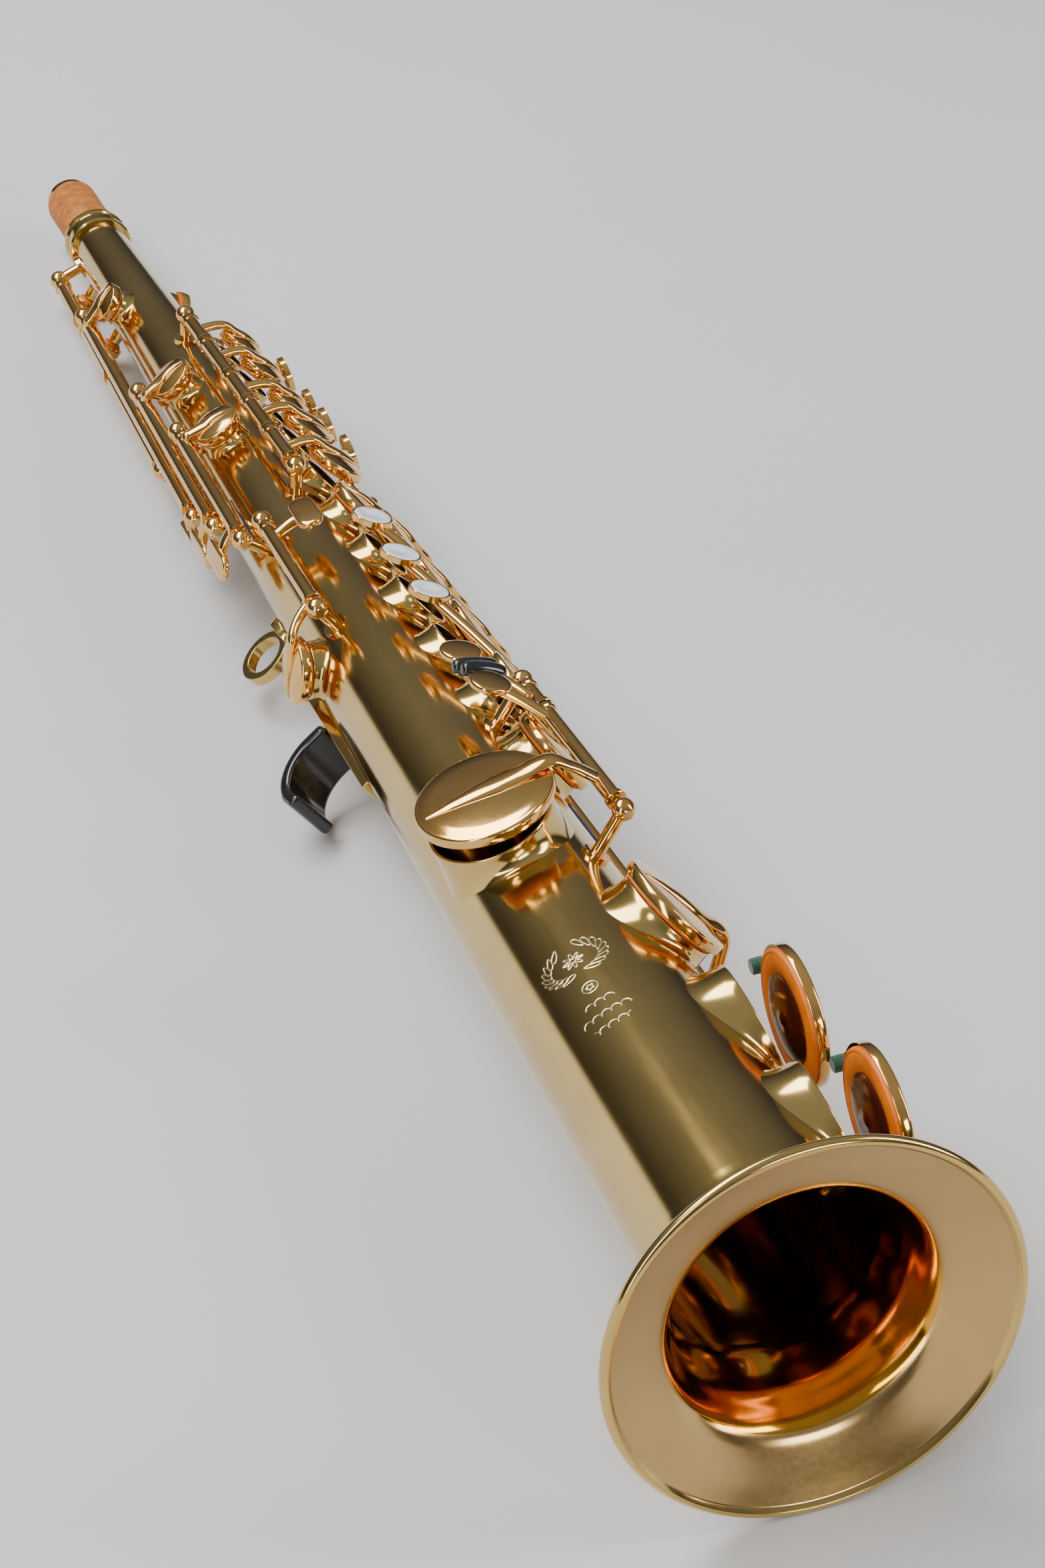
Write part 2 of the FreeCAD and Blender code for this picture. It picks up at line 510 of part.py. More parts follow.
# ---- hook, thumb rest and strap ring ------------------------------------------------------------------
def make_back_fittings():
    skin = [body_cone("back_seat", 0.0, 0.03, 0.99)]
    share, angle = size("hook_share"), size("hook_angle")
    side = outward(angle)
    tangent = outward(angle + 90)
    length, width = size("hook_plate_length"), size("hook_plate_width")
    seat = body_radius(share)
    turn = Rotation(Vector(0, 0, 1), tangent, side, "ZXY")
    corner = polar(angle, seat - 3.0, station(share) - length / 2) - tangent * (width / 2)
    plate = add("Part::Box", "hook_plate_blank", Placement(corner, turn), Length="Sizes.hook_plate_length",
                Width="Sizes.hook_plate_width", Height="Sizes.hook_plate_rise + 3.4")
    root_nodes.append(cut("thumb_hook_plate", plate, skin))
    # hook: a strip that leaves the plate near its top and arches down over the thumb, towards the bell
    plate_top = seat + size("hook_plate_rise") + 0.4
    bend, stem = size("hook_bend_radius"), size("hook_stem")
    thick, lip, taper = size("hook_thickness"), size("hook_lip"), size("hook_lip_taper")
    top = station(share) + size("hook_top")
    sideways = tangent * (size("hook_width") / -2)

    def hook_point(out, down):
        return side * (plate_top + out) + Vector(0, 0, top - down) + sideways

    half_turn = math.sqrt(0.5)
    inner = bend - thick
    corners = [hook_point(0, 0), hook_point(stem, 0), hook_point(stem + bend, bend),
               hook_point(stem + bend - taper, bend + lip), hook_point(stem + inner - taper, bend + lip),
               hook_point(stem + inner, bend), hook_point(stem, thick), hook_point(0, thick)]
    arc_middles = {1: hook_point(stem + bend * half_turn, bend - bend * half_turn),
                   5: hook_point(stem + inner * half_turn, bend - inner * half_turn)}
    edges = []
    for number, start in enumerate(corners):
        end = corners[(number + 1) % len(corners)]
        if number in arc_middles:
            edges.append(Part.Arc(start, arc_middles[number], end).toShape())
        else:
            edges.append(Part.LineSegment(start, end).toShape())
    profile = doc.addObject("Part::Feature", "hook_profile")
    profile.Shape = Part.Face(Part.Wire(edges))
    hook = doc.addObject("Part::Extrusion", "thumb_hook")
    hook.Base = profile
    hook.DirMode = "Custom"
    hook.Dir = tangent
    hook.Solid = True
    hook.setExpression("LengthFwd", "Sizes.hook_width")
    root_nodes.append(hook)
    # left thumb rest
    share, angle = size("thumb_rest_share"), size("thumb_rest_angle")
    disc = cylinder("thumb_rest_blank", polar(angle, body_radius(share) - 3.0, station(share)),
                    outward(angle), "Sizes.thumb_rest_radius", "Sizes.thumb_rest_rise + 3")
    root_nodes.append(cut("thumb_rest", disc, [body_cone("rest_seat", 0.0, 0.03, 0.99)]))
    # strap ring: a ring on edge with a small saddle
    share = size("strap_share")
    side = outward(180)
    ring_centre = polar(180, body_radius(share) + size("strap_ring_radius") + 3.0, station(share))
    across = Vector(1, 0, 0)
    half = size("strap_ring_width") / 2
    ring = cylinder("strap_ring_blank", ring_centre - across * half, across,
                    "Sizes.strap_ring_radius + Sizes.strap_ring_thickness", "Sizes.strap_ring_width")
    saddle = cylinder("strap_saddle", polar(180, body_radius(share) - 3.0, station(share)), side,
                      "6", "4.4")
    eye = cylinder("strap_eye", ring_centre - across * (half + 1), across, "Sizes.strap_ring_radius",
                   "Sizes.strap_ring_width + 2")
    root_nodes.append(cut("strap_ring", fused("strap_blank", [ring, saddle]),
                          [eye, body_cone("strap_seat", 0.0, 0.03, 0.99)]))


# ---- lay the instrument down and write the solids --------------------------------------------------------
def lying_rotation():
    up = size("lying_up_angle")
    stand_up = Rotation(Vector(0, 0, 1), up)
    lay_down = Rotation(Vector(1, 0, 0), -90.0)
    face_up = Rotation(Vector(0, 1, 0), 180.0)
    dip = Rotation(Vector(1, 0, 0), -size("lying_dip"))
    return dip.multiply(face_up).multiply(lay_down).multiply(stand_up)


def main():
    make_body_tube()
    make_bell()
    make_neck()
    make_posts_and_rods()
    for name, key in keys.items():
        make_key(name, key)
    make_octave_lever()
    make_back_fittings()
    doc.recompute()
    nodes = [(node, Placement()) for node in root_nodes] + moving_nodes
    turn = Placement(Vector(), lying_rotation())
    box = FreeCAD.BoundBox()
    for node, own in nodes:
        shape = node.Shape.copy()
        shape.Placement = turn.multiply(own).multiply(shape.Placement)
        box.add(shape.optimalBoundingBox(False))
    shift = Vector(-box.Center.x, -box.Center.y, -box.ZMin)
    lying = Placement(shift, lying_rotation())
    for node, own in nodes:
        node.Placement = lying.multiply(own).multiply(node.Placement)
    doc.recompute()
    for item in doc.Objects:
        if "Invalid" in item.State or "Error" in item.State:
            raise RuntimeError(f"{item.Label} failed: {item.State}")
    os.makedirs("parts", exist_ok=True)
    for node, own in nodes:
        shape = node.Shape
        if shape.isNull() or not shape.isValid():
            raise RuntimeError(f"{node.Label} has no valid shape")
        if node.TypeId != "Part::Compound" and node.Label != "posts" and len(shape.Solids) != 1:
            raise RuntimeError(f"{node.Label} is {len(shape.Solids)} solids, not one")
        shape.exportStep(f"parts/{node.Label}.step")
    print(len(nodes), "nodes, box", round(box.XLength, 1), round(box.YLength, 1), round(box.ZLength, 1))
    return lying


lying_placement = main()
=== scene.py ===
import json
import math
import bmesh
import bpy
import numpy as np
from mathutils import Matrix

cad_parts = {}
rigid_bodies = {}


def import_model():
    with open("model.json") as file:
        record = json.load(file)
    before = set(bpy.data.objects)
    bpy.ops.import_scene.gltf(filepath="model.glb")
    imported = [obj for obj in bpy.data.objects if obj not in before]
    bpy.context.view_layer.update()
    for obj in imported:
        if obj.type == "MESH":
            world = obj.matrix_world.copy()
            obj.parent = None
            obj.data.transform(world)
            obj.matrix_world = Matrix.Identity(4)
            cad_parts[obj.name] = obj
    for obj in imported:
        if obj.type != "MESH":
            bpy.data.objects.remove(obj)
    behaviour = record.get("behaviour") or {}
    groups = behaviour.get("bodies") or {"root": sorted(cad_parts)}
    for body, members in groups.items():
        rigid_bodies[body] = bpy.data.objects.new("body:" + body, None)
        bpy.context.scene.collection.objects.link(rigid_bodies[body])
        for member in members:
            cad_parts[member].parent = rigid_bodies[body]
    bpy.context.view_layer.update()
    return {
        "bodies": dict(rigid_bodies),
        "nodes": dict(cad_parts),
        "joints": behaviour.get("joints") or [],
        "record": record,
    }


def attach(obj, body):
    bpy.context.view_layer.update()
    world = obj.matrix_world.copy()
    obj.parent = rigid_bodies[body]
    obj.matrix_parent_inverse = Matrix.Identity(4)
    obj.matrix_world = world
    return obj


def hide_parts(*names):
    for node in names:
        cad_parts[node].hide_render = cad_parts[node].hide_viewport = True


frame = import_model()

mm = 0.001

# the tube's own frame: x player's right, y front, z from the bell rim up to the neck
tube = {"length": 615 * mm, "throat": 25.4 * mm, "neckEnd": 6.95 * mm, "wall": 0.8 * mm,
        "corkMiddle": 598.5 * mm, "joint": 30 * mm, "shoulder": 581 * mm, "tenon": 7.0 * mm,
        "hingeHeight": 8 * mm, "hingeRadius": 2.1 * mm, "segments": 224, "rings": 110}

mounts = {m["name"]: m for m in frame["record"]["mounts"]}
joints = {j["child"]: j for j in frame["joints"]}


def unit(vector):
    vector = np.asarray(vector, float)
    return vector / np.linalg.norm(vector, axis=-1, keepdims=True)


upTube = unit(mounts["mouthpiece_cork"]["axis"])
rightTube = unit(mounts["strap_ring"]["axis"])
basis = np.array([rightTube, np.cross(upTube, rightTube), upTube])
origin = np.array(mounts["mouthpiece_cork"]["pos_m"]) - upTube * tube["corkMiddle"]


def toRow(points):
    return origin + np.asarray(points, float) @ basis


def toTube(points):
    return (np.asarray(points, float) - origin) @ basis.T


def polar(angle, radius, height):
    # a point at an angle round the tube (degrees from the front), a radius and a height
    turn = np.radians(angle)
    return np.stack(np.broadcast_arrays(radius * np.sin(turn), radius * np.cos(turn), height), axis=-1)


def bodyRadius(height):
    return tube["throat"] - (tube["throat"] - tube["neckEnd"]) * height / tube["length"]


def turned(points, centre, axis, angle):
    # the points turned about a line by Rodrigues' formula, the angle in radians
    p = np.asarray(points, float) - centre
    along = (p @ axis)[..., None] * axis
    return centre + p * math.cos(angle) + np.cross(axis, p) * math.sin(angle) + along * (1 - math.cos(angle))


# surfaces: each is a grid of points with shape (rows, columns, 3)
def gridFaces(rows, columns, wrapRows, wrapColumns):
    # quads between neighbouring grid points, joined round where a direction wraps
    i = np.arange(rows if wrapRows else rows - 1)
    j = np.arange(columns if wrapColumns else columns - 1)
    a, b = np.meshgrid(i, j, indexing="ij")
    a2, b2 = (a + 1) % rows, (b + 1) % columns
    quads = np.stack([a * columns + b, a * columns + b2, a2 * columns + b2, a2 * columns + b], axis=-1)
    return quads.reshape(-1, 4)


def circle(count):
    turn = np.linspace(0, 2 * math.pi, count, endpoint=False)
    return np.stack([np.cos(turn), np.sin(turn)], axis=1)


def stadium(length, width, count=40):
    # two half circles joined by straight sides, long along the second coordinate
    turn = np.linspace(0, 2 * math.pi, count, endpoint=False) + 1e-4
    half = length / 2 - width / 2
    along = width / 2 * np.sin(turn) + half * np.sign(np.sin(turn))
    return np.stack([width / 2 * np.cos(turn), along], axis=1)


def loft(centre, across, along, out, outline, profile):
    # the outline scaled and lifted by each (scale, height) of the profile
    profile = np.asarray(profile, float)
    flat = outline[None, :, :] * profile[:, 0][:, None, None]
    return (centre + flat[..., :1] * across + flat[..., 1:] * along
            + profile[:, 1][:, None, None] * out)


def revolve(centre, axis, profile, count=48):
    # (radius, height) pairs spun round an axis
    axis = unit(axis)
    helper = np.array([0.0, 0, 1]) if abs(axis[2]) < 0.9 else np.array([1.0, 0, 0])
    across = unit(np.cross(helper, axis))
    return loft(centre, across, np.cross(axis, across), axis, circle(count), profile)


def smoothPath(points, count):
    # Catmull-Rom curve through the points, sampled evenly in its parameter
    p = np.asarray(points, float)
    p = np.vstack([2 * p[0] - p[1], p, 2 * p[-1] - p[-2]])
    t = np.linspace(0, len(p) - 3 - 1e-9, count)
    i = t.astype(int)
    f = (t - i)[:, None]
    a, b, c, d = p[i], p[i + 1], p[i + 2], p[i + 3]
    return 0.5 * (2 * b + (c - a) * f + (2 * a - 5 * b + 4 * c - d) * f ** 2
                  + (3 * b - a - 3 * c + d) * f ** 3)


def sweep(path, up, width, height, count=14):
    # an oval section carried along a path; width and height are half sizes at each path point
    tangent = unit(np.gradient(path, axis=0))
    side = unit(np.cross(tangent, up))
    top = np.cross(side, tangent)
    ring = circle(count)
    width = np.broadcast_to(width, len(path))[:, None, None]
    height = np.broadcast_to(height, len(path))[:, None, None]
    body = path[:, None] + ring[:, 0][None, :, None] * side[:, None] * width \
        + ring[:, 1][None, :, None] * top[:, None] * height
    first = np.broadcast_to(path[0], (1, count, 3))
    last = np.broadcast_to(path[-1], (1, count, 3))
    return np.concatenate([first, body, last])


def makePiece(name, parts, materials, body, nodes=(), sharp=38):
    # parts are (grid, wrapRows, wrapColumns, material number), in row coordinates
    vertices, faces, numbers, start = [], [], [], 0
    for grid, wrapRows, wrapColumns, number in parts:
        rows, columns = grid.shape[:2]
        quads = gridFaces(rows, columns, wrapRows, wrapColumns) + start
        vertices.append(grid.reshape(-1, 3))
        faces.append(quads)
        numbers.append(np.full(len(quads), number))
        start += rows * columns
    mesh = bpy.data.meshes.new(name)
    mesh.from_pydata(np.concatenate(vertices).tolist(), [], np.concatenate(faces).tolist())
    mesh.polygons.foreach_set("material_index", np.concatenate(numbers).astype(np.int32))
    work = bmesh.new()
    work.from_mesh(mesh)
    bmesh.ops.remove_doubles(work, verts=work.verts, dist=1e-6)
    bmesh.ops.recalc_face_normals(work, faces=work.faces)
    work.to_mesh(mesh)
    work.free()
    mesh.shade_smooth()
    mesh.set_sharp_from_angle(angle=math.radians(sharp))
    piece = bpy.data.objects.new(name, mesh)
    bpy.context.scene.collection.objects.link(piece)
    for material in materials:
        mesh.materials.append(material)
    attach(piece, body)
    if nodes:
        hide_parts(*nodes)
    return piece


# finishes
def newMaterial(name):
    material = bpy.data.materials.new(name)
    material.use_nodes = True
    nodes = material.node_tree.nodes
    return material, nodes, material.node_tree.links, nodes["Principled BSDF"]


def noise(nodes, links, coordinates, scale, detail=3.0, stretch=(1, 1, 1)):
    mapping = nodes.new("ShaderNodeMapping")
    mapping.inputs["Scale"].default_value = stretch
    texture = nodes.new("ShaderNodeTexNoise")
    texture.inputs["Scale"].default_value = scale
    texture.inputs["Detail"].default_value = detail
    links.new(coordinates, mapping.inputs["Vector"])
    links.new(mapping.outputs["Vector"], texture.inputs["Vector"])
    return texture.outputs["Fac"]


def ramp(nodes, links, value, low, high, start=0.3, end=0.7):
    node = nodes.new("ShaderNodeValToRGB")
    node.color_ramp.elements[0].position = start
    node.color_ramp.elements[1].position = end
    node.color_ramp.elements[0].color = (*low, 1)
    node.color_ramp.elements[1].color = (*high, 1)
    links.new(value, node.inputs["Fac"])
    return node.outputs["Color"]


def spread(nodes, links, value, low, high):
    node = nodes.new("ShaderNodeMapRange")
    node.inputs["To Min"].default_value = low
    node.inputs["To Max"].default_value = high
    links.new(value, node.inputs["Value"])
    return node.outputs["Result"]


def bump(nodes, links, value, strength, distance):
    node = nodes.new("ShaderNodeBump")
    node.inputs["Strength"].default_value = strength
    node.inputs["Distance"].default_value = distance
    links.new(value, node.inputs["Height"])
    return node.outputs["Normal"]


def finish(name, look):
    # one finish: two tones mixed by a slow noise, roughness by a finer one, and a fine grain as bump
    material, nodes, links, shader = newMaterial(name)
    place = nodes.new("ShaderNodeTexCoord").outputs["Object"]
    slow = noise(nodes, links, place, look["blotch"], 4.0)
    fine = noise(nodes, links, place, look["grain"], 3.0, look.get("stretch", (1, 1, 1)))
    links.new(ramp(nodes, links, slow, look["dark"], look["light"]), shader.inputs["Base Color"])
    links.new(spread(nodes, links, fine, *look["rough"]), shader.inputs["Roughness"])
    links.new(bump(nodes, links, fine, look["bump"], look["depth"]), shader.inputs["Normal"])
    shader.inputs["Metallic"].default_value = look.get("metal", 0.0)
    shader.inputs["Coat Weight"].default_value = look.get("coat", 0.0)
    shader.inputs["Coat Roughness"].default_value = look.get("coatRough", 0.05)
    shader.inputs["Sheen Weight"].default_value = look.get("sheen", 0.0)
    shader.inputs["IOR"].default_value = 1.5
    return material


looks = {
    "bodyLacquer": {"dark": (0.60, 0.40, 0.115), "light": (0.70, 0.49, 0.16), "blotch": 30, "grain": 700,
                    "rough": (0.10, 0.17), "bump": 0.015, "depth": 0.00001, "metal": 1.0, "coat": 0.35,
                    "stretch": (1, 0.05, 1)},
    "flareSatin": {"dark": (0.56, 0.36, 0.13), "light": (0.64, 0.43, 0.17), "blotch": 40, "grain": 900,
                   "rough": (0.17, 0.24), "bump": 0.012, "depth": 0.00001, "metal": 1.0, "coat": 0.3},
    # painted reflection: the bore's deeper, more saturated orange stands in for the lacquer reflecting itself
    # inside the tube and the bell's throat
    "borePaintedReflection": {"dark": (0.50, 0.19, 0.006), "light": (0.74, 0.34, 0.02), "blotch": 45, "grain": 300,
                  "rough": (0.07, 0.18), "bump": 0.03, "depth": 0.00002, "metal": 1.0, "coat": 0.5},
    "keyLacquer": {"dark": (0.80, 0.43, 0.10), "light": (0.90, 0.55, 0.17), "blotch": 60, "grain": 900,
                   "rough": (0.07, 0.14), "bump": 0.012, "depth": 0.00001, "metal": 1.0, "coat": 0.4},
    "rodSteel": {"dark": (0.66, 0.47, 0.22), "light": (0.78, 0.58, 0.30), "blotch": 90, "grain": 1200,
                 "rough": (0.14, 0.24), "bump": 0.03, "depth": 0.00001, "metal": 1.0},
    "springBlue": {"dark": (0.03, 0.05, 0.13), "light": (0.10, 0.14, 0.26), "blotch": 300, "grain": 1500,
                   "rough": (0.25, 0.4), "bump": 0.03, "depth": 0.00001, "metal": 1.0},
    "padLeather": {"dark": (0.56, 0.11, 0.001), "light": (0.80, 0.20, 0.003), "blotch": 110, "grain": 1500,
                   "rough": (0.40, 0.56), "bump": 0.22, "depth": 0.00005},
    "resonator": {"dark": (0.040, 0.007, 0.003), "light": (0.068, 0.012, 0.005), "blotch": 90, "grain": 1200,
                  "rough": (0.18, 0.28), "bump": 0.03, "depth": 0.00001, "coat": 0.4},
    "cork": {"dark": (0.30, 0.085, 0.008), "light": (0.52, 0.175, 0.022), "blotch": 330, "grain": 1300,
             "rough": (0.55, 0.8), "bump": 0.45, "depth": 0.00015},
    "blackPlastic": {"dark": (0.004, 0.004, 0.005), "light": (0.011, 0.011, 0.013), "blotch": 120,
                     "grain": 1800, "rough": (0.12, 0.24), "bump": 0.04, "depth": 0.00002, "coat": 0.4},
    "greenFelt": {"dark": (0.004, 0.035, 0.022), "light": (0.012, 0.085, 0.05), "blotch": 900, "grain": 2600,
                  "rough": (0.85, 0.97), "bump": 0.8, "depth": 0.0002, "sheen": 0.4},
    "pearl": {"dark": (0.55, 0.62, 0.70), "light": (0.86, 0.89, 0.90), "blotch": 260, "grain": 700,
              "rough": (0.10, 0.2), "bump": 0.03, "depth": 0.00002, "coat": 0.8},
    "engraved": {"dark": (0.90, 0.74, 0.36), "light": (0.98, 0.84, 0.50), "blotch": 300, "grain": 1500,
                 "rough": (0.22, 0.35), "bump": 0.03, "depth": 0.00001, "metal": 1.0},
}
finishes = {name: finish(name, look) for name, look in looks.items()}
print("finishes", len(finishes))


# body tube, its drawn tone holes and the bell
keyNames = sorted(b for b in frame["bodies"] if b not in ("body", "octave_lever"))
standsOpen = {"low_b_flat", "low_b", "low_c", "d", "e", "f", "f_sharp", "g", "a", "bis", "b", "c"}


def nodePoints(node):
    mesh = frame["nodes"][node].data
    points = np.zeros(len(mesh.vertices) * 3, np.float32)
    mesh.vertices.foreach_get("co", points)
    return np.unique(np.round(points.reshape(-1, 3).astype(float), 6), axis=0)


def readKey(name):
    # a key's own sizes, read from its CAD solids with the pad turned down on to its hole
    joint = joints[name]
    pivot, axis = np.array(joint["pos_m"]), unit(joint["axis"])
    press = math.radians(joint["range_deg"][1]) if name in standsOpen else 0.0
    pad = toTube(turned(nodePoints(name + "_pad"), pivot, axis, press))
    metal = toTube(turned(nodePoints(name + "_key"), pivot, axis, press))
    centre = pad.mean(axis=0)
    angle = math.degrees(math.atan2(centre[0], centre[1]))
    side = polar(angle, 1.0, 0.0)
    depth = pad @ side
    flat = pad - depth[:, None] * side
    radius = np.linalg.norm(flat - (centre - (centre @ side) * side), axis=1).max()
    hinge = toTube(pivot)
    direction = unit(basis @ axis)
    direction = direction * np.sign(direction[2])
    away = metal - hinge
    run = away @ direction
    near = np.linalg.norm(away - run[:, None] * direction, axis=1) < tube["hingeRadius"] + 0.03 * mm
    return {"pivot": pivot, "axis": axis, "press": press, "angle": angle, "height": centre[2], "side": side,
            "face": depth.min(), "back": depth.max(), "padRadius": radius, "hinge": hinge,
            "direction": direction, "tubeFrom": run[near].min(), "tubeTo": run[near].max(),
            "hole": radius - 1.35 * mm if radius > 7.0 * mm else radius - 0.85 * mm}


keyData = {name: readKey(name) for name in keyNames}
for name in ("lower_octave", "upper_octave"):
    keyData[name]["hole"] = 1.0 * mm
print("keys read", len(keyData))

chimney = {"wall": 0.8 * mm, "fillet": 3.2 * mm, "seatGap": 0.15 * mm, "lip": 0.35 * mm}


def tubeShell():
    # closed shell: outer cone, tenon step and inner bore, spun from one profile
    top, joint, wall = tube["length"], tube["joint"] - 0.5 * mm, tube["wall"]
    heights = np.linspace(joint, tube["shoulder"], tube["rings"])
    outer = [(bodyRadius(h), h) for h in heights]
    outer += [(tube["tenon"] + 0.15 * mm, tube["shoulder"] + 0.2 * mm),
              (tube["tenon"], tube["shoulder"] + 0.6 * mm),
              (tube["tenon"], top - 0.5 * mm), (tube["tenon"] - 0.3 * mm, top)]
    inner = [(tube["tenon"] - wall, top), (tube["tenon"] - wall, tube["shoulder"] - 3 * mm)]
    inner += [(bodyRadius(h) - wall, h) for h in heights[::-1][4:]]
    return np.array(outer + inner)


def makeBodyTube():
    profile = tubeShell()
    turn = circle(tube["segments"])
    points = np.zeros((len(profile), len(turn), 3))
    points[..., 0] = profile[:, 0][:, None] * turn[:, 0]
    points[..., 1] = profile[:, 0][:, None] * turn[:, 1]
    points[..., 2] = profile[:, 1][:, None]
    # the bore's finish is a painted reflection: its deeper orange stands in for the lacquer reflecting itself
    # inside the tube
    body = makePiece("body_tube_skin", [(toRow(points), True, True, 0)],
                     [finishes["bodyLacquer"], finishes["borePaintedReflection"]], "body",
                     ["body_tube"])
    plugs = []
    for data in keyData.values():
        side = data["side"]
        foot = polar(0, 0, data["height"])
        reach = bodyRadius(data["height"]) + 6 * mm
        cutRadius = data["hole"] + 0.35 * mm
        grid = revolve(foot, side, [(0, 2 * mm), (cutRadius, 2 * mm), (cutRadius, reach), (0, reach)], 56)
        plugs.append((toRow(grid), False, True, 0))
    cutter = makePiece("hole_cutter", plugs, [finishes["borePaintedReflection"]], "body")
    tool = body.modifiers.new("holes", "BOOLEAN")
    tool.operation = "DIFFERENCE"
    tool.solver = "EXACT"
    tool.object = cutter
    bpy.context.view_layer.update()
    cutMesh = bpy.data.meshes.new_from_object(body.evaluated_get(bpy.context.evaluated_depsgraph_get()))
    body.modifiers.clear()
    body.data = cutMesh
    bpy.data.objects.remove(cutter)
    exactNormals(body)
    return body


def exactNormals(body):
    # the cone's true normals at every vertex, outwards on the skin and inwards in the bore
    mesh = body.data
    points = np.zeros(len(mesh.vertices) * 3, np.float32)
    mesh.vertices.foreach_get("co", points)
    local = toTube(points.reshape(-1, 3).astype(float))
    flat = np.linalg.norm(local[:, :2], axis=1)
    slope = (tube["throat"] - tube["neckEnd"]) / tube["length"]
    inside = flat < np.where(local[:, 2] > tube["shoulder"] - 1 * mm, tube["tenon"],
                             bodyRadius(local[:, 2])) - 0.5 * tube["wall"]
    normals = unit(np.stack([local[:, 0] / flat, local[:, 1] / flat, np.full(len(flat), slope)], axis=1))
    normals[inside] *= -1
    centres = np.zeros(len(mesh.polygons) * 3, np.float32)
    mesh.polygons.foreach_get("center", centres)
    middle = toTube(centres.reshape(-1, 3).astype(float))
    reach = np.linalg.norm(middle[:, :2], axis=1)
    bore = reach < bodyRadius(middle[:, 2]) - 0.55 * tube["wall"]
    mesh.polygons.foreach_set("material_index", bore.astype(np.int32))
    mesh.shade_smooth()
    mesh.normals_split_custom_set_from_vertices((normals @ basis).tolist())


def collarGrid(data):
    # a drawn tone hole: its closed section runs up from the body in a fillet, over the rim and down inside
    side, hole = data["side"], data["hole"]
    around = np.linspace(0, 2 * math.pi, 72, endpoint=False)
    tangent = np.array([side[1], -side[0], 0.0])
    rim = data["face"] - chimney["seatGap"]
    fillet = min(chimney["fillet"], 0.45 * hole + 1.0 * mm)
    outerWall = hole + chimney["wall"]

    def skin(radius):
        # height of the body's skin above the axis at a distance from the hole's own axis
        x = radius * np.cos(around)
        z = data["height"] + radius * np.sin(around)
        return np.sqrt(bodyRadius(z) ** 2 - x ** 2)

    footHeight = skin(outerWall + fillet) - 0.12 * mm
    rows = []
    for step in np.linspace(0, 1, 12):
        # quarter of a superellipse from the skin up to the chimney's wall
        turn = step * math.pi / 2
        radius = outerWall + fillet * (1 - math.sin(turn) ** 0.85)
        lift = (rim - chimney["lip"] - footHeight) * (1 - math.cos(turn)) ** 1.15
        rows.append((np.full(72, radius), footHeight + lift))
    flat = np.full(72, rim)
    rows.append((np.full(72, outerWall - 0.1 * mm), flat - 0.08 * mm))
    rows.append((np.full(72, outerWall - 0.28 * mm), flat))
    rows.append((np.full(72, hole + 0.2 * mm), flat))
    rows.append((np.full(72, hole), flat - 0.15 * mm))
    rows.append((np.full(72, hole), skin(hole) - 1.0 * mm))
    rows.append((np.full(72, outerWall - 0.2 * mm), skin(outerWall - 0.2 * mm) - 1.0 * mm))
    rows.append((np.full(72, outerWall + fillet), skin(outerWall + fillet) - 0.5 * mm))
    radii = np.array([r for r, h in rows])
    heights = np.array([h for r, h in rows])
    points = (radii * np.cos(around))[..., None] * tangent + (radii * np.sin(around))[..., None] * [0, 0, 1] \
        + heights[..., None] * side + np.array([0, 0, data["height"]])
    return points


def makeCollars():
    parts = [(toRow(collarGrid(data)), True, True, 0) for data in keyData.values()]
    return makePiece("drawn_tone_holes", parts, [finishes["bodyLacquer"]], "body",
                     sharp=50)


bell = {"rim": 46.5 * mm, "bead": 1.3 * mm, "slope": 20, "ring": 31.2 * mm, "wall": 0.8 * mm,
        "segments": 288}


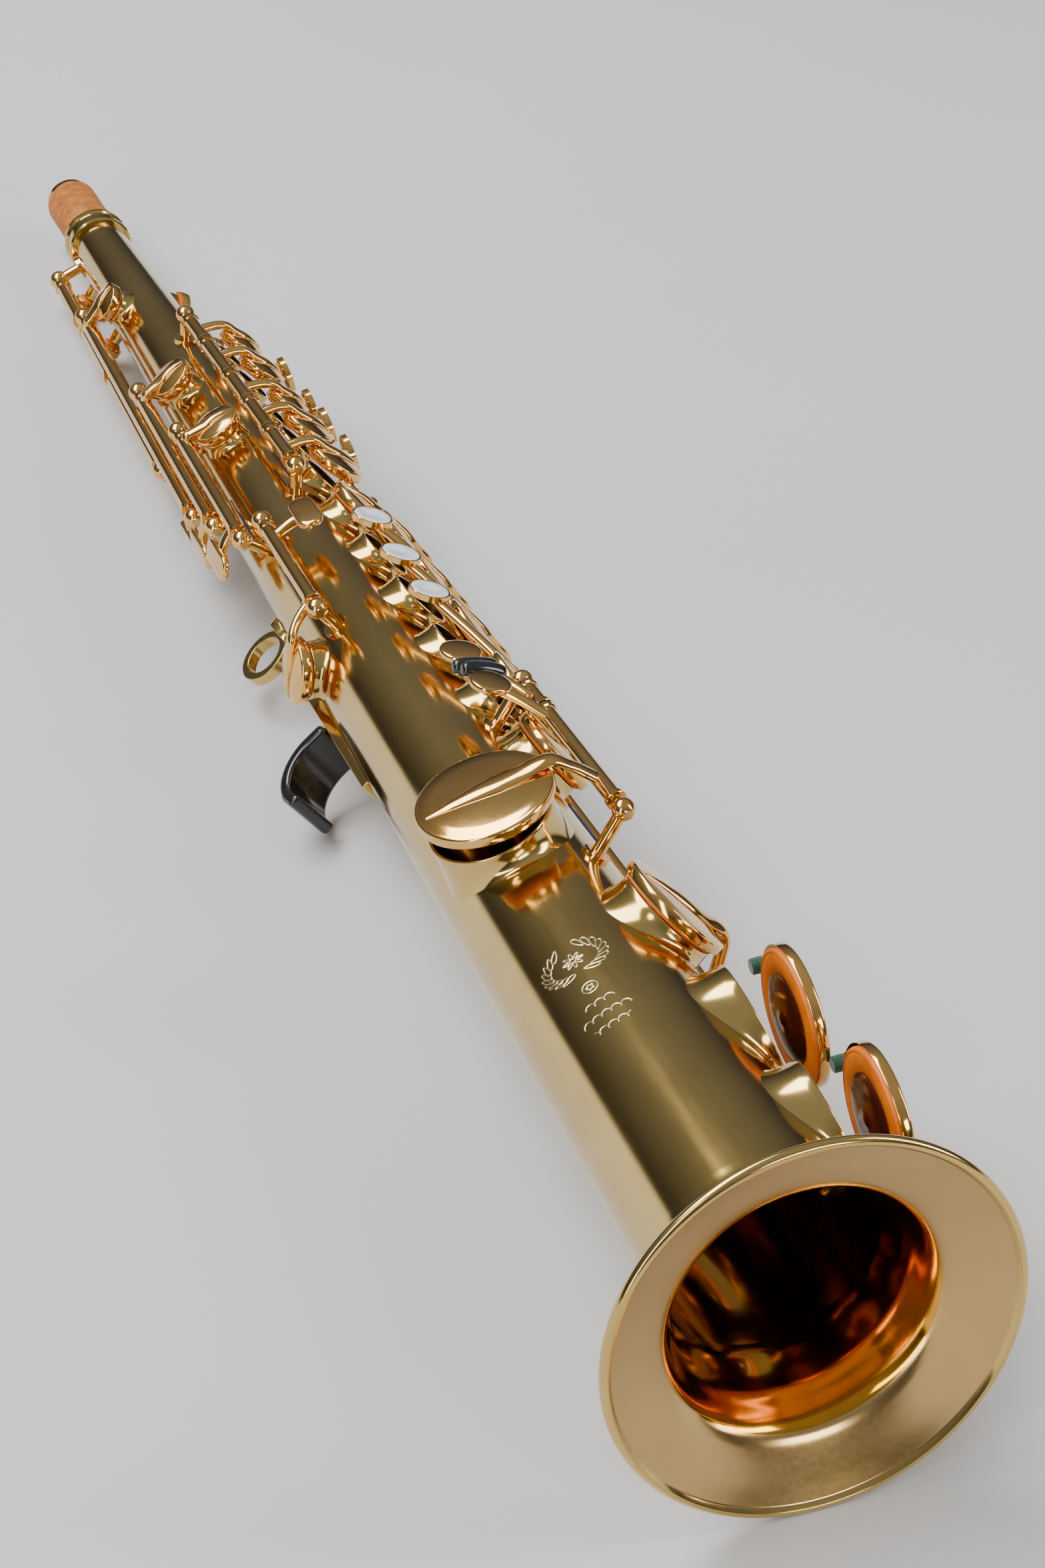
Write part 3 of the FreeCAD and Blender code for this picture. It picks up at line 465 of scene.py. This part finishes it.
def makeBell():
    # outside and inside outlines of the flare, with a rolled bead at the rim and a tight throat ring
    bead, wall = bell["bead"], bell["wall"]
    rise = math.tan(math.radians(bell["slope"]))
    rimRadius = bell["rim"] - bead
    ringHeight = bead + (rimRadius - bell["ring"]) * rise
    joint = tube["joint"]
    start = bodyRadius(joint)
    inner = [(start - wall, joint + 1 * mm), (start - wall + 0.15 * mm, joint - 5 * mm),
             (start + 0.9 * mm, 17.5 * mm), (start + 3.0 * mm, 12.6 * mm),
             (bell["ring"] - 2.0 * mm, ringHeight + 2.6 * mm),
             (bell["ring"] - 0.7 * mm, ringHeight + 0.9 * mm),
             (bell["ring"] + 0.7 * mm, ringHeight - 0.1 * mm),
             (bell["ring"] + 3.0 * mm, ringHeight - 2.6 * rise * mm - 0.2 * mm),
             (rimRadius - 5 * mm, bead + 5 * mm * rise - 0.3 * mm), (rimRadius - 1.0 * mm, bead - 0.2 * mm)]
    inner = smoothPath([(r, 0, h) for r, h in inner], 90)[:, [0, 2]]
    turn = np.radians(np.linspace(-110, 150, 22))
    roll = np.stack([rimRadius + bead * np.cos(turn), bead + bead * np.sin(turn)], axis=1)
    outer = [(rimRadius - 1.2 * mm, bead + 1.2 * rise * mm + wall),
             (rimRadius - 6 * mm, bead + 6 * rise * mm + wall),
             (bell["ring"] + 3 * mm, ringHeight - 3 * rise * mm + wall + 0.5 * mm),
             (bell["ring"] - 1.0 * mm, ringHeight + 2.6 * mm), (start + 4.2 * mm, 14.6 * mm),
             (start + 1.6 * mm, 20.0 * mm), (start + 0.3 * mm, 25.5 * mm),
             (start + 0.05 * mm, joint + 1 * mm)]
    outer = smoothPath([(r, 0, h) for r, h in outer], 70)[:, [0, 2]]
    outline = circle(bell["segments"])
    zero, x, y, z = np.zeros(3), np.array([1.0, 0, 0]), np.array([0, 1.0, 0]), np.array([0, 0, 1.0])

    def spun(pairs):
        return toRow(loft(zero, x, y, z, outline, pairs))

    throat = int(np.argmin(np.abs(inner[:, 0] - (bell["ring"] - 0.9 * mm))))
    # the inside of the throat takes the bore's finish, whose deeper orange is a painted reflection
    parts = [(spun(inner[:throat + 1]), False, True, 2), (spun(inner[throat:]), False, True, 1),
             (spun(np.vstack([inner[-1], roll, outer[0]])), False, True, 0), (spun(outer), False, True, 0),
             (spun([outer[-1], inner[0]]), False, True, 0)]
    flareFinishes = [finishes["bodyLacquer"], finishes["flareSatin"], finishes["borePaintedReflection"]]
    return makePiece("bell_flare", parts, flareFinishes, "body", ["bell"], sharp=60)


makeBodyTube()
makeCollars()
makeBell()
print("body tube, tone holes and bell")


# neck ring and cork
neck = {"ringLow": 575 * mm, "ringHigh": 583 * mm, "ringEdge": 9.7 * mm, "groove": 0.6 * mm,
        "corkLow": 585 * mm, "corkHigh": 612 * mm, "corkEdge": 7.9 * mm}


def makeNeck():
    # a turned ring with a groove round its middle, and a cork sleeve that is a little waisted
    axis = np.array([0, 0, 1.0])
    low, high, edge, groove = neck["ringLow"], neck["ringHigh"], neck["ringEdge"], neck["groove"]
    seat = bodyRadius(low) - 0.2 * mm
    ring = [(seat, low), (edge - 0.5 * mm, low), (edge, low + 0.5 * mm), (edge, low + 1.6 * mm),
            (edge - groove, low + 2.1 * mm), (edge - groove, high - 2.1 * mm), (edge, high - 1.6 * mm),
            (edge, high - 0.5 * mm), (edge - 0.5 * mm, high), (tube["tenon"] - 0.2 * mm, high)]
    makePiece("neck_ring_turned", [(toRow(revolve(np.zeros(3), axis, ring, 96)), True, True, 0)],
              [finishes["bodyLacquer"]], "body", ["neck_ring"])
    low, high, edge = neck["corkLow"], neck["corkHigh"], neck["corkEdge"]
    cork = [(tube["tenon"] - 0.1 * mm, low), (edge - 0.35 * mm, low), (edge, low + 0.7 * mm),
            (edge - 0.05 * mm, low + 9 * mm), (edge - 0.15 * mm, low + 14 * mm),
            (edge - 0.05 * mm, low + 20 * mm), (edge - 0.1 * mm, high - 1.0 * mm),
            (edge - 0.5 * mm, high), (tube["tenon"] - 0.1 * mm, high)]
    makePiece("neck_cork_sleeve", [(toRow(revolve(np.zeros(3), axis, cork, 96)), True, True, 0)],
              [finishes["cork"]], "body", ["neck_cork"])


makeNeck()
print("neck ring and cork")


# keys
touches = {   # kind, height along the tube, angle round it, rise over the hinge line, length, width
    "low_b_flat": ("plate", 0.556, -66, 6.6, 13, 8), "low_b": ("plate", 0.579, -51, 6.6, 12, 8),
    "low_c_sharp": ("plate", 0.602, -77, 5.6, 12, 8), "g_sharp": ("plate", 0.626, -60, 5.6, 13, 8),
    "low_c": ("plate", 0.3540, 40, 6.0, 11.0, 10.5), "low_e_flat": ("plate", 0.3868, 40, 6.0, 10.4, 10.5),
    "d": ("pearl", 0.4440, 41, 1.5, 0, 0), "e": ("pearl", 0.4810, 41, 1.5, 0, 0),
    "f": ("pearl", 0.5190, 41, 1.5, 0, 0), "f_sharp_trill": ("plate", 0.5480, 60, 1.0, 15, 7),
    "g": ("pearl", 0.6525, -38, 1.5, 0, 0), "a": ("pearl", 0.6830, -38, 1.5, 0, 0),
    "bis": ("pearl", 0.7070, -40, 1.5, 0, 0), "b": ("pearl", 0.7420, -38, 1.5, 0, 0),
    "side_b_flat": ("plate", 0.5820, 130, 1.5, 17, 7), "side_c": ("plate", 0.6140, 146, 1.5, 17, 7),
    "side_e": ("plate", 0.6470, 166, 1.5, 17, 7), "palm_d": ("plate", 0.7480, -125, -2.0, 18, 9),
    "palm_e_flat": ("plate", 0.7930, -124, -2.0, 16, 9), "palm_f": ("plate", 0.8380, -124, -2.0, 17, 9),
}
climbing = {"low_b_flat", "low_b", "low_c_sharp", "low_e_flat", "g_sharp"}   # arms that pass over other rods
keyShape = {"cupWall": 0.85 * mm, "lid": 0.9 * mm, "dome": 0.9 * mm, "edge": 0.7 * mm, "arm": 1.7 * mm,
            "armHeight": 1.3 * mm, "collar": 0.45 * mm, "pearl": 5.4 * mm, "plate": 1.8 * mm,
            "resonator": 0.66, "rodBore": 1.2 * mm}


def cupGrid(data):
    # a pressed cup: skirt, rounded edge, a shallow ledge and a low dome
    radius = data["padRadius"] + keyShape["cupWall"]
    back, skirt = data["back"], data["face"] + 0.9 * mm
    top = back + keyShape["lid"]
    edge = keyShape["edge"] if radius > 8 * mm else 0.5 * keyShape["edge"]
    profile = [(0, back), (data["padRadius"] + 0.02 * mm, back), (data["padRadius"] + 0.05 * mm, skirt),
               (radius - 0.1 * mm, skirt - 0.05 * mm), (radius, skirt + 0.12 * mm), (radius, top - edge)]
    profile += [(radius - edge * (1 - math.cos(t)), top - edge + edge * math.sin(t))
                for t in np.radians([30, 60, 90])]
    rest = radius - edge - 0.35 * mm
    profile += [(rest, top + 0.02 * mm), (rest - 0.2 * mm, top + 0.1 * mm)]
    profile += [((rest - 0.2 * mm) * (1 - s), top + 0.1 * mm + keyShape["dome"] * (1 - (1 - s) ** 2))
                for s in (0.2, 0.4, 0.6, 0.8, 1.0)]
    return revolve(polar(0, 0, data["height"]), data["side"], profile, 72 if radius > 8 * mm else 48)


def padGrids(data):
    # leather disc with a soft edge and a seat ring, and a domed resonator held by a rivet
    radius, face, back, hole = data["padRadius"], data["face"], data["back"], data["hole"]
    foot = polar(0, 0, data["height"])
    inner = radius * keyShape["resonator"]
    leather = [(0, back - 0.05 * mm), (radius, back - 0.05 * mm), (radius, face + 0.8 * mm),
               (radius - 0.12 * mm, face + 0.35 * mm), (radius - 0.45 * mm, face + 0.08 * mm),
               (radius - 0.9 * mm, face), (hole + 0.75 * mm, face + 0.02 * mm),
               (hole + 0.45 * mm, face + 0.14 * mm),
               (hole + 0.1 * mm, face + 0.02 * mm), (hole - 0.6 * mm, face - 0.12 * mm),
               (inner + 0.5 * mm, face - 0.05 * mm), (inner, face + 0.25 * mm), (0, face + 0.3 * mm)]
    parts = [(revolve(foot, data["side"], leather, 64), 0)]
    if hole > 2 * mm:
        depth = 0.10 * inner + 0.25 * mm
        dome = [(0, face + 0.28 * mm), (inner, face + 0.28 * mm), (inner, face - 0.1 * mm)]
        dome += [(inner * math.cos(t), face - 0.1 * mm - depth * math.sin(t))
                 for t in np.radians([15, 30, 50, 70, 82])]
        dome += [(0.12 * inner, face - 0.25 * mm - depth), (0.06 * inner, face - 0.35 * mm - depth),
                 (0, face - 0.38 * mm - depth)]
        parts.append((revolve(foot, data["side"], dome, 64), 1))
    return parts


def hingePoint(data, run):
    return data["hinge"] + data["direction"] * run


def tubeGrid(data):
    # hinge tube with a raised collar at each end, and a bore for the rod
    radius, bore, collar = tube["hingeRadius"], keyShape["rodBore"], keyShape["collar"]
    start, end = data["tubeFrom"] + 0.02 * mm, data["tubeTo"] - 0.02 * mm
    width = min(1.6 * mm, 0.2 * (end - start))
    profile = [(bore, start), (radius + collar - 0.15 * mm, start), (radius + collar, start + 0.15 * mm),
               (radius + collar, start + width), (radius, start + width + 0.2 * mm),
               (radius, end - width - 0.2 * mm), (radius + collar, end - width),
               (radius + collar, end - 0.15 * mm),
               (radius + collar - 0.15 * mm, end), (bore, end)]
    return revolve(data["hinge"], data["direction"], profile, 32)


def armGrid(data):
    # the arm rises from its tube, arches over the cup's edge and ends in a spear on the cup
    radius = data["padRadius"] + keyShape["cupWall"]
    top = data["back"] + keyShape["lid"] + 0.1 * mm
    hingeAngle = math.degrees(math.atan2(data["hinge"][0], data["hinge"][1]))
    across = (data["angle"] - hingeAngle + 180) % 360 - 180
    sign = 1.0 if across > 0 else -1.0
    side = data["side"]
    tangent = polar(data["angle"] + 90, 1.0, 0.0) * sign
    foot = polar(0, 0, data["height"])
    runs = (data["height"] - data["hinge"][2]) / data["direction"][2]
    run = min(max(runs, data["tubeFrom"] + 2 * mm), data["tubeTo"] - 2 * mm)
    root = hingePoint(data, run)
    thick = keyShape["armHeight"]
    crest = foot + side * (top + 0.9 * mm) - tangent * (radius + 0.4 * mm)
    points = [root, root * 0.45 + crest * 0.55 + side * 0.9 * mm, crest,
              foot + side * (top + 0.75 * mm) - tangent * radius * 0.55,
              foot + side * (top + 0.95 * mm), foot + side * (top + 0.55 * mm) + tangent * radius * 0.45,
              foot + side * (top + 0.15 * mm) + tangent * radius * 0.86]
    path = smoothPath(points, 44)
    share = np.linspace(0, 1, 44)
    big = keyShape["arm"] * (1.75 if radius > 12 * mm else 1.0)
    width = big * np.interp(share, [0, 0.15, 0.35, 0.6, 0.85, 1], [1.0, 0.8, 0.95, 1.15, 0.6, 0.12])
    height = thick * np.interp(share, [0, 0.2, 0.5, 0.85, 1], [1.1, 0.95, 0.9, 0.6, 0.15])
    return sweep(path, side, width, height, 16)


def pearlGrids(centre, out):
    # brass setting with a concave shell button
    radius = keyShape["pearl"]
    setting = [(0, -1.1 * mm), (radius * 0.75, -1.1 * mm), (radius, -0.5 * mm), (radius, 0.95 * mm),
               (radius - 0.25 * mm, 1.1 * mm), (radius - 0.5 * mm, 1.0 * mm),
               (radius - 0.55 * mm, 0.3 * mm), (0, 0.2 * mm)]
    button = [(0, 0.1 * mm), (radius - 0.6 * mm, 0.1 * mm), (radius - 0.6 * mm, 0.95 * mm),
              (radius - 1.1 * mm, 1.15 * mm),
              (radius * 0.55, 0.9 * mm), (radius * 0.25, 0.72 * mm), (0, 0.66 * mm)]
    return [(revolve(centre, out, setting, 40), 0), (revolve(centre, out, button, 40), 1)]


def plateGrid(centre, out, length, width):
    # a crowned finger plate with soft edges
    half = keyShape["plate"] / 2
    profile = [(0, -half), (0.9, -half), (0.97, -half * 0.8), (1, -half * 0.3), (1, half * 0.4),
               (0.97, half * 0.8), (0.92, half), (0.8, half + 0.12 * mm), (0.5, half + 0.3 * mm),
               (0.2, half + 0.38 * mm), (0, half + 0.4 * mm)]
    along = np.array([0, 0, 1.0])
    return loft(centre, np.cross(along, out), along, out, stadium(length, width), profile)


def touchGrids(name, data):
    if name not in touches:
        return []
    kind, share, angle, over, length, width = touches[name]
    height = share * tube["length"]
    over = over * mm
    out = polar(angle, 1.0, 0.0)
    centre = polar(angle, bodyRadius(height) + tube["hingeHeight"] + over, height)
    inner = centre - out * 0.5 * mm
    if kind == "pearl":
        top = data["back"] + keyShape["lid"] + 0.6 * mm
        start = polar(0, 0, data["height"]) + data["side"] * top
        middle = start * 0.5 + inner * 0.5 + out * 0.4 * mm
        path = smoothPath([start, middle, inner], 24)
        return [(sweep(path, out, 1.5 * mm, 1.2 * mm), 0)] + pearlGrids(centre, out)
    run = (height - data["hinge"][2]) / data["direction"][2]
    run = min(max(run, data["tubeFrom"] + 2.5 * mm), data["tubeTo"] - 5 * mm)
    start = hingePoint(data, run)
    if name in climbing:
        hingeAngle = math.degrees(math.atan2(data["hinge"][0], data["hinge"][1]))
        turn = (angle - hingeAngle + 180) % 360 - 180
        points = [start, polar(hingeAngle + 0.2 * turn, np.linalg.norm(inner[:2]), start[2]), inner]
    else:
        points = [start, start * 0.5 + inner * 0.5 + out * 0.5 * mm, inner]
    path = smoothPath(points, 28)
    return [(sweep(path, out, 1.6 * mm, 1.4 * mm), 0), (plateGrid(centre, out, length * mm, width * mm), 0)]


rollers = {"low_c": 225.4, "low_e_flat": 230.4, "angle": 38, "rise": 13.6, "radius": 2.45, "length": 11.5}


def rollerGrid(name):
    # a barrel-shaped roller lying across the plate's end
    height = rollers[name] * mm
    out = polar(rollers["angle"], 1.0, 0.0)
    across = polar(rollers["angle"] + 90, 1.0, 0.0)
    centre = out * (bodyRadius(height) + rollers["rise"] * mm) + np.array([0, 0, height])
    half, radius = rollers["length"] / 2 * mm, rollers["radius"] * mm
    turns = np.radians(np.linspace(-90, 90, 25))
    profile = [(radius * math.cos(t) ** 0.45, half * math.sin(t)) for t in turns]
    return revolve(centre, across, profile, 32)


felts = {   # place beside the cup as a share of its radius towards the neck, felt radius and length
    "low_b": (1.32, 1.9, 3.2), "low_b_flat": (1.3, 1.9, 3.2),
}


def feltGrids(name, data):
    # a short stem from the cup's neck side that carries a green felt bumper
    share, radius, length = felts[name]
    cup = data["padRadius"] + keyShape["cupWall"]
    foot = polar(0, 0, data["height"])
    level = data["back"] + 0.2 * mm
    start = foot + data["side"] * level + np.array([0, 0, cup * 0.9])
    end = foot + data["side"] * (level + 0.6 * mm) + np.array([0, 0, cup * share])
    path = smoothPath([start, (start + end) / 2 + data["side"] * 0.5 * mm, end], 12)
    stem = sweep(path, data["side"], 1.3 * mm, 1.0 * mm)
    top = end - data["side"] * length * mm
    r = radius * mm
    felt = [(0, 0), (r - 0.3 * mm, 0), (r, 0.3 * mm), (r * 1.03, length / 2 * mm), (r, (length - 0.3) * mm),
            (r - 0.3 * mm, length * mm), (0, length * mm)]
    cap = [(0, -0.1 * mm), (r * 0.9, -0.1 * mm), (r * 1.05, 0.3 * mm), (r * 0.9, 0.9 * mm), (0, 1.1 * mm)]
    return [(stem, 0), (revolve(end, data["side"], cap, 28), 0), (revolve(top, data["side"], felt, 28), 2)]


def makeKey(name):
    data = keyData[name]

    def atRest(grid):
        return turned(toRow(grid), data["pivot"], data["axis"], -data["press"])

    metal = [(cupGrid(data), 0), (tubeGrid(data), 0), (armGrid(data), 0)] + touchGrids(name, data)
    if name in rollers:
        metal.append((rollerGrid(name), 3))
    if name in felts:
        metal += feltGrids(name, data)
    parts = []
    for number, (grid, material) in enumerate(metal):
        parts.append((atRest(grid), number == 1, True, material))
    trims = [finishes[f] for f in ("keyLacquer", "pearl", "greenFelt", "blackPlastic")]
    makePiece(name + "_keywork", parts, trims, name, [name + "_key"])
    pads = [(atRest(grid), False, True, material) for grid, material in padGrids(data)]
    padFinishes = [finishes["padLeather"], finishes["resonator"]]
    makePiece(name + "_leather_pad", pads, padFinishes, name, [name + "_pad"])


for name in keyNames:
    makeKey(name)
print("keys made", len(keyNames))

# engraved ornament on the front of the body
ornament = {"angle": 75, "height": 118, "line": 0.17, "petals": 8, "leaves": 9}


def onSkin(u, v):
    # a drawing in millimetres, across and along, wrapped on to the body's skin
    height = (ornament["height"] + v) * mm
    radius = bodyRadius(height)
    return polar(ornament["angle"] + np.degrees(u * mm / radius), radius + 0.03 * mm, height)


def ornamentLines():
    t = np.linspace(0, 2 * math.pi, 60)
    lines = []
    for side in (-1, 1):
        # wreath: leaf loops set round half an oval
        for number in range(ornament["leaves"]):
            turn = math.radians(-65 + 130 * number / (ornament["leaves"] - 1))
            middle = np.array([side * 7.2 * math.cos(turn), 5.6 * math.sin(turn)])
            lean = turn * side + side * 0.9
            leafX, leafY = 1.9 * np.cos(t), 0.62 * np.sin(t) * (1 - 0.4 * np.cos(t))
            lines.append((middle[0] + leafX * math.cos(lean) - leafY * math.sin(lean),
                          middle[1] + leafX * math.sin(lean) + leafY * math.cos(lean)))
    petals = ornament["petals"]
    bloom = 2.6 * (0.68 + 0.32 * np.cos(petals * np.linspace(0, 2 * math.pi, 200)))
    turn = np.linspace(0, 2 * math.pi, 200)
    lines.append((bloom * np.cos(turn), bloom * np.sin(turn)))
    lines.append((0.7 * np.cos(t), 0.7 * np.sin(t)))
    lines.append((1.9 * np.cos(t), -11.5 + 1.9 * np.sin(t)))
    star = 0.8 * (1 + 0.3 * np.cos(5 * t))
    lines.append((star * np.cos(t), -11.5 + star * np.sin(t)))
    for number, half in enumerate((3.5, 6.5, 4.8)):
        # flowing scrolls in place of any writing
        run = np.linspace(-1, 1, 90)
        wave = run * half * 2.6
        lines.append((half * run + 0.5 * np.sin(wave), -17.5 - 4.6 * number + 0.75 * np.cos(wave)))
    return lines


def makeOrnament():
    parts = []
    out = polar(ornament["angle"], 1.0, 0.0)
    width = ornament["line"] * mm
    for u, v in ornamentLines():
        path = onSkin(np.asarray(u), np.asarray(v))
        parts.append((toRow(sweep(path, out, width, 0.05 * mm, 6)), False, True, 0))
    makePiece("body_ornament", parts, [finishes["engraved"]], "body")


makeOrnament()
print("ornament")


# pieces that keep their CAD shape with softened edges
softened = {"thumb_hook": ("blackPlastic", "black_plastic", 1.3),
            "strap_ring": ("bodyLacquer", "lacquered_brass", 0.45),
            "thumb_rest": ("blackPlastic", "black_plastic", 1.0),
            "thumb_hook_plate": ("bodyLacquer", "lacquered_brass", 0.35)}


def softenedCopy(node, finishName, width):
    # a merged copy of the CAD solid with its edges rolled over
    mesh = frame["nodes"][node].data.copy()
    mesh.materials.clear()
    mesh.materials.append(finishes[finishName])
    work = bmesh.new()
    work.from_mesh(mesh)
    bmesh.ops.remove_doubles(work, verts=work.verts, dist=2e-6)
    bmesh.ops.dissolve_limit(work, angle_limit=math.radians(1.0), verts=work.verts, edges=work.edges)
    work.to_mesh(mesh)
    work.free()
    mesh.polygons.foreach_set("material_index", np.zeros(len(mesh.polygons), np.int32))
    piece = bpy.data.objects.new(node + "_softened", mesh)
    bpy.context.scene.collection.objects.link(piece)
    edge = piece.modifiers.new("edge", "BEVEL")
    edge.width, edge.segments, edge.limit_method = width * mm, 4, "ANGLE"
    edge.angle_limit = math.radians(35)
    mesh.shade_smooth()
    smooth = piece.modifiers.new("normals", "WEIGHTED_NORMAL")
    smooth.keep_sharp = True
    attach(piece, "body")
    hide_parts(node)


for node, (finishName, slotName, width) in softened.items():
    softenedCopy(node, finishName, width)
print("fittings", len(softened))

# CAD nodes that keep their shape
keptNodes = {"posts": "keyLacquer", "hinge_rods": "rodSteel", "needle_springs": "springBlue",
             "octave_lever_key": "keyLacquer"}
for node, finishName in keptNodes.items():
    materials = frame["nodes"][node].data.materials
    materials.clear()
    materials.append(finishes[finishName])

# floor, light and camera
stage = {"floorSize": 8.0, "floor": (0.60, 0.60, 0.61), "world": 0.5, "low": (0.05, 0.05, 0.055),
         "high": (0.75, 0.78, 0.82)}


def makeFloor():
    half = stage["floorSize"] / 2
    mesh = bpy.data.meshes.new("floor")
    corners = [(-half, -half, 0), (half, -half, 0), (half, half, 0), (-half, half, 0)]
    mesh.from_pydata(corners, [], [(0, 1, 2, 3)])
    floor = bpy.data.objects.new("floor", mesh)
    bpy.context.scene.collection.objects.link(floor)
    material, nodes, links, shader = newMaterial("floorPaper")
    place = nodes.new("ShaderNodeTexCoord").outputs["Object"]
    tone = stage["floor"]
    links.new(ramp(nodes, links, noise(nodes, links, place, 3), [c * 0.94 for c in tone], tone),
              shader.inputs["Base Color"])
    shader.inputs["Roughness"].default_value = 0.9
    shader.inputs["Specular IOR Level"].default_value = 0.1
    mesh.materials.append(material)


lights = {   # place, aim, width, height, power and colour of each soft panel
    "overhead": ((-0.55, 0.35, 1.2), (0, 0, 0), 1.5, 0.6, 30, (1, 1, 1)),
    "front_left": ((1.2, -0.7, 0.8), (0, -0.1, 0), 0.35, 1.1, 13, (1.0, 0.95, 0.88)),
    "back_strip": ((-1.0, -1.0, 0.6), (0, -0.2, 0), 0.25, 1.2, 8, (1, 1, 1)),
    "end_strip": ((0.35, -1.5, 0.5), (0, -0.3, 0.05), 0.5, 0.3, 5, (1.0, 0.97, 0.92)),
}


def makeLight(name, place, aim, width, height, power, colour):
    light = bpy.data.lights.new(name, "AREA")
    light.shape = "RECTANGLE"
    light.size, light.size_y, light.energy, light.color = width, height, power, colour
    lamp = bpy.data.objects.new(name, light)
    bpy.context.scene.collection.objects.link(lamp)
    away = unit(np.array(place) - np.array(aim))
    across = unit(np.cross([0, 0, 1.0], away))
    columns = np.array([across, np.cross(away, across), away]).T
    lamp.matrix_world = Matrix([(*row, offset) for row, offset in zip(columns, place)] + [(0, 0, 0, 1)])


camera = {"place": (590.3, 158.2, -643.0), "turn": 75.0, "forward": (-0.5801, 0.0127, 0.8144),
          "right": (-0.4429, 0.8342, -0.3285), "lens": 100.6}


def makeCamera():
    # the view's directions are given along and across the plane through the tube's axis and the camera
    turn = math.radians(camera["turn"])
    local = np.array([(math.sin(turn), math.cos(turn), 0), (-math.cos(turn), math.sin(turn), 0), (0, 0, 1)])
    forward = unit(np.array(camera["forward"]) @ local @ basis)
    right = np.array(camera["right"]) @ local @ basis
    right = unit(right - (right @ forward) * forward)
    above = np.cross(right, forward)
    place = toRow(np.array(camera["place"]) * mm)
    lens = bpy.data.cameras.new("camera")
    lens.lens, lens.sensor_width, lens.clip_start = camera["lens"], 36, 0.01
    view = bpy.data.objects.new("camera", lens)
    bpy.context.scene.collection.objects.link(view)
    columns = np.array([right, above, -forward]).T
    view.matrix_world = Matrix([(*row, offset) for row, offset in zip(columns, place)] + [(0, 0, 0, 1)])
    bpy.context.scene.camera = view
    print("camera", place.round(3), "looks", forward.round(3), "up", above.round(3))


def makeWorld():
    # a dim sky that brightens upwards, for the metal to reflect
    world = bpy.data.worlds.new("studio")
    bpy.context.scene.world = world
    world.use_nodes = True
    nodes, links = world.node_tree.nodes, world.node_tree.links
    direction = nodes.new("ShaderNodeTexCoord").outputs["Generated"]
    split = nodes.new("ShaderNodeSeparateXYZ")
    links.new(direction, split.inputs["Vector"])
    height = spread(nodes, links, split.outputs["Z"], 0.0, 1.0)
    sky = ramp(nodes, links, height, stage["low"], stage["high"], 0.0, 0.9)
    links.new(sky, nodes["Background"].inputs["Color"])
    nodes["Background"].inputs["Strength"].default_value = stage["world"]


makeFloor()
makeWorld()
for name, light in lights.items():
    makeLight(name, *light)
makeCamera()
